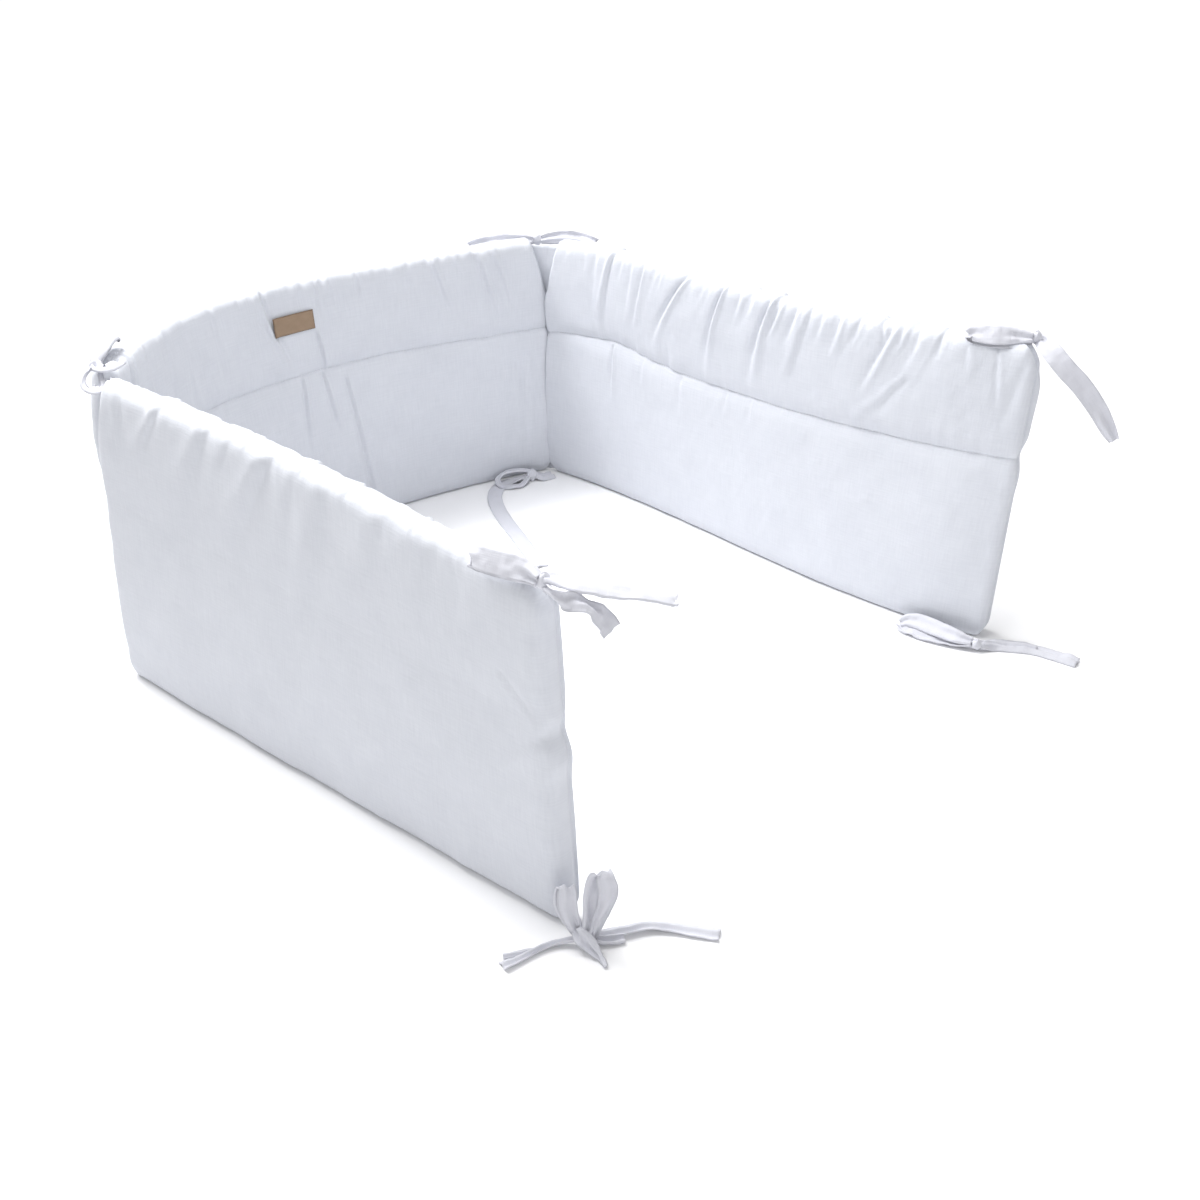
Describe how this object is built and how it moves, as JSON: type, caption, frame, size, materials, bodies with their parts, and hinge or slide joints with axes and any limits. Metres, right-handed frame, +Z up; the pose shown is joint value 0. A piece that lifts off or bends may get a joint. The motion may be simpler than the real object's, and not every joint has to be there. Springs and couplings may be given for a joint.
{
  "type": "padded crib bumper",
  "caption": "White padded cotton crib bumper standing in a U, with a sewn line and gathers on its inner faces, narrow corner strips, ribbon ties and a small blank patch.",
  "frame": {"origin": "on the floor, under the centre of the whole object's box", "axes": "+Z up; the U opens towards -Y; +X runs from the near panel to the far panel"},
  "size_m": [0.6646, 0.801, 0.3141],
  "materials": {
    "white_cotton": "matte plain weave",
    "tan_leather": "matte"
  },
  "bodies": {
    "root": {"panel_near": "white_cotton", "panel_head": "white_cotton", "panel_far": "white_cotton", "corner_strip_left": "white_cotton", "corner_strip_right": "white_cotton", "blank_patch": "tan_leather", "tie_near_top": "white_cotton", "tie_near_foot": "white_cotton", "tie_left_top": "white_cotton", "tie_left_foot": "white_cotton", "tie_right_top": "white_cotton", "tie_right_foot": "white_cotton", "tie_far_top": "white_cotton", "tie_far_foot": "white_cotton"}
  },
  "joints": []
}
